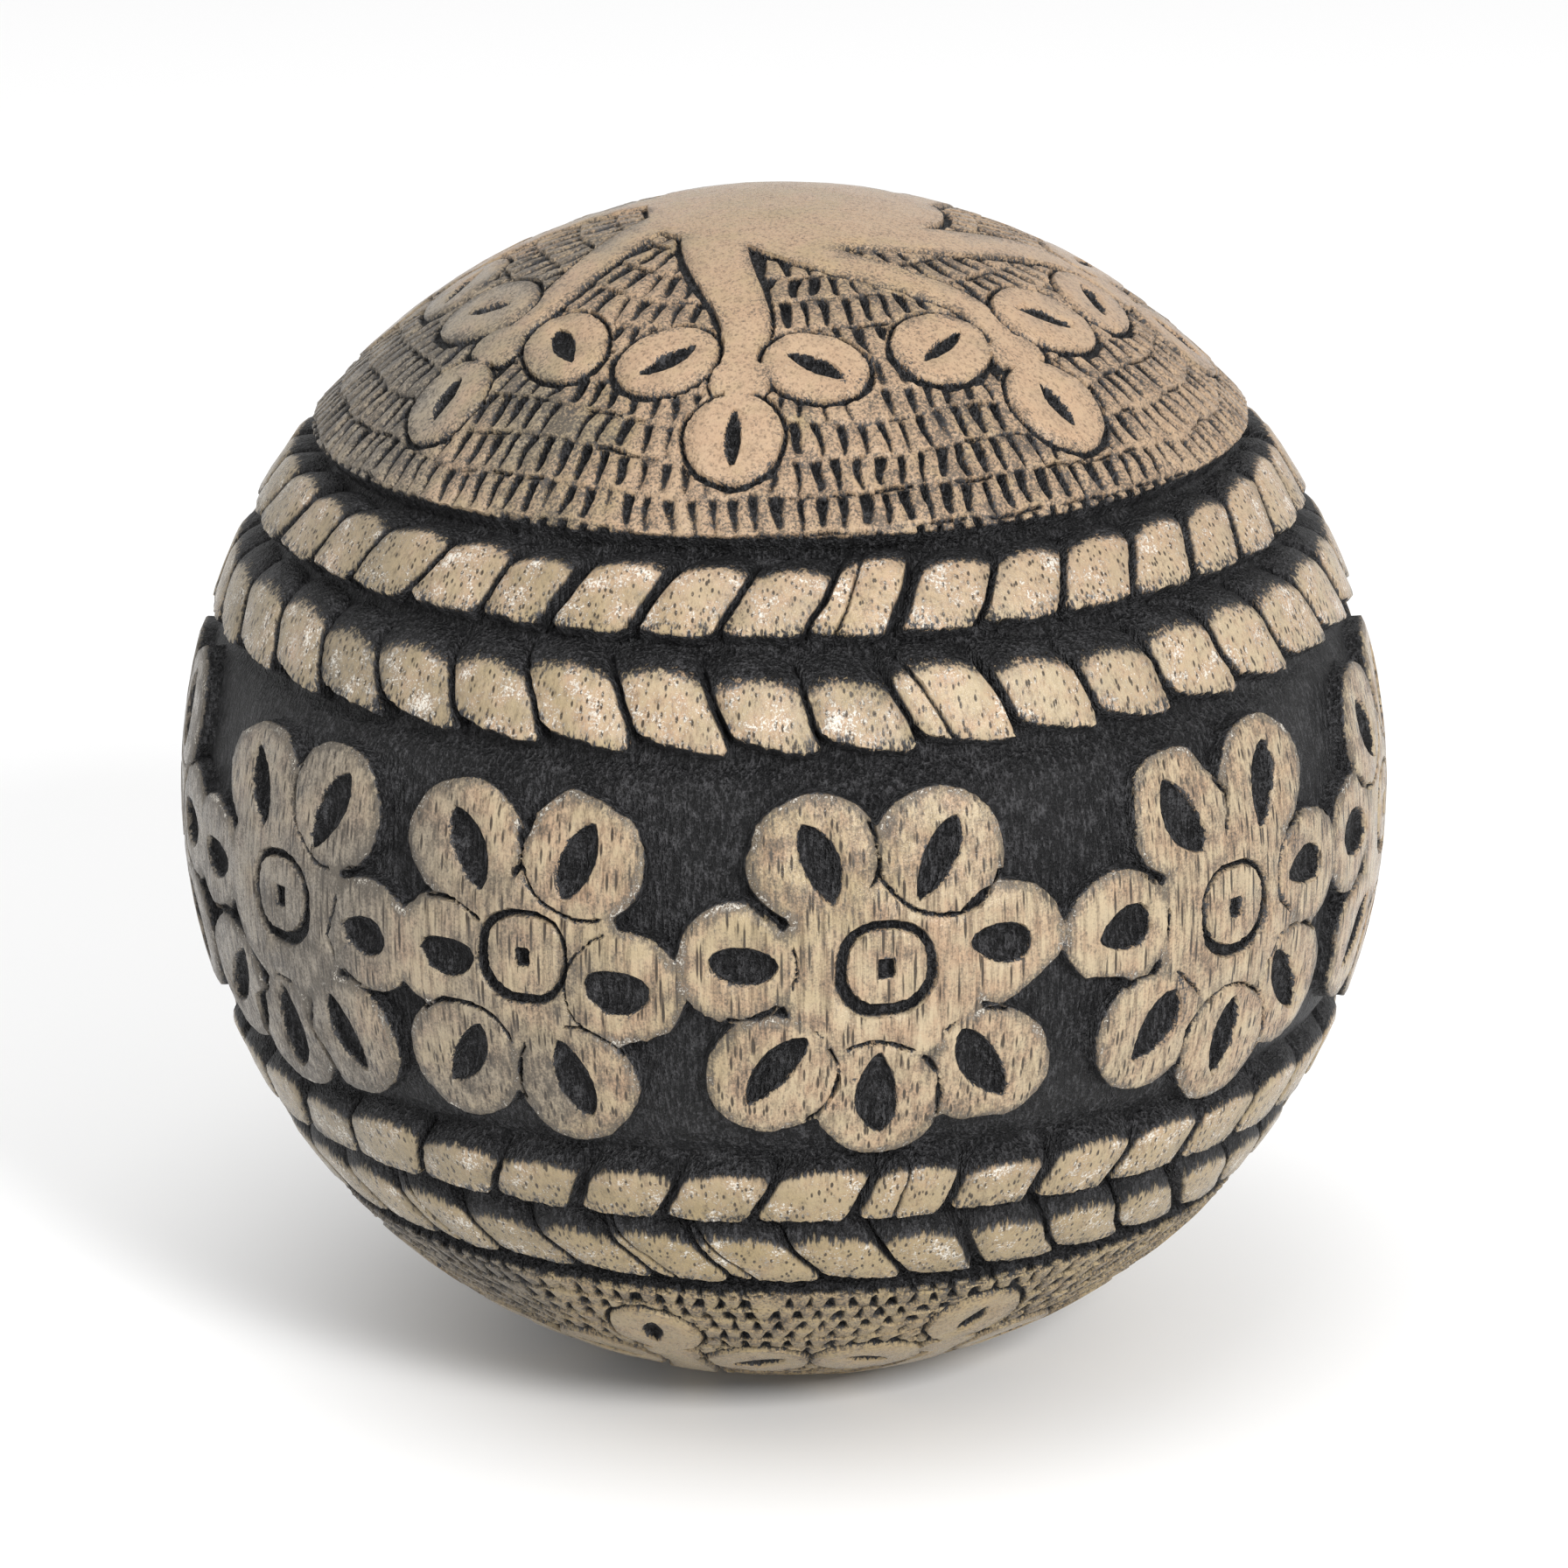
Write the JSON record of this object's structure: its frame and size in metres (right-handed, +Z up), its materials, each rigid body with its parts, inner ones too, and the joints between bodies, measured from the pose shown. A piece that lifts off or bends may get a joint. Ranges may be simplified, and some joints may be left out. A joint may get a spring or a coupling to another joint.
{
  "type": "decorative sphere",
  "caption": "Solid wooden ball carved with rope mouldings, a belt of raised flowers and leafy caps, stained dark and rubbed back, with a small flat spot to stand on.",
  "frame": {"origin": "centre of the flat spot the ball stands on", "axes": "+Z up along the turning axis through both poles, -Y towards the front"},
  "size_m": [0.1, 0.1, 0.0981],
  "materials": {
    "carved_wood": "light hardwood stained black and rubbed back to bare wood on the raised carving, lightly waxed"
  },
  "bodies": {
    "root": {"carved_ball": "carved_wood"}
  },
  "joints": []
}
